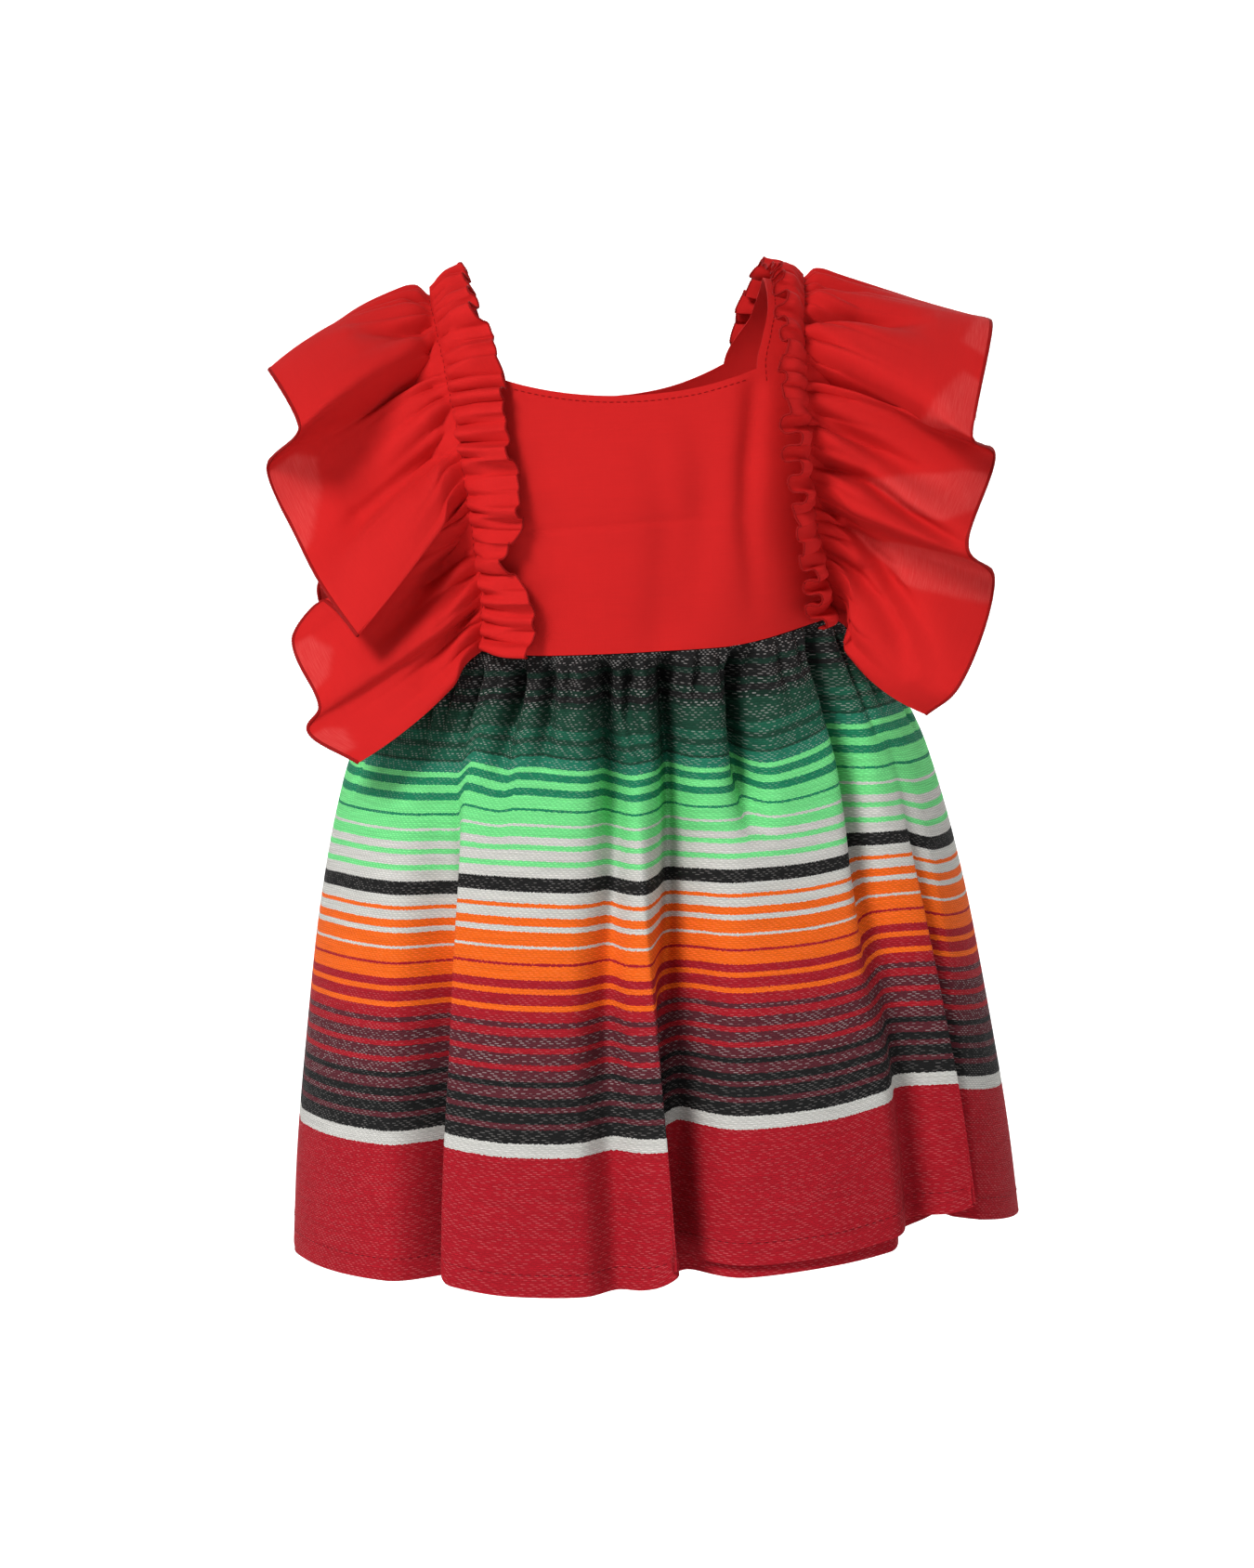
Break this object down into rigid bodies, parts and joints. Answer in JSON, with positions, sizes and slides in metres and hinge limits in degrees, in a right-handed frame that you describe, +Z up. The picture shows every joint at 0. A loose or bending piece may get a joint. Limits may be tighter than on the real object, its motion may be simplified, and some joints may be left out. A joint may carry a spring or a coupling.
{
  "type": "child's dress with shoulder ruffles",
  "caption": "Child's sleeveless dress filled out as worn: smooth cotton bodice, gathered ruffles over the shoulders and a gathered striped skirt, open at neck, armholes and hem",
  "frame": {"origin": "midway between the tops of the two shoulders, where the wearer's shoulders carry the dress", "axes": "+Z up, -Y the front of the dress, +X to the right of a person who looks at the front"},
  "size_m": [0.3526, 0.283, 0.4723],
  "materials": {
    "red_cotton": "matte",
    "striped_weave": "matte",
    "button_red": "gloss"
  },
  "bodies": {
    "root": {"bodice_front": "red_cotton", "bodice_back_left": "red_cotton", "bodice_back_right": "red_cotton", "skirt_front": "striped_weave", "skirt_back": "striped_weave", "ruffle_left": "red_cotton", "ruffle_right": "red_cotton", "button_1": "button_red", "button_2": "button_red", "button_3": "button_red", "button_4": "button_red"}
  },
  "joints": []
}
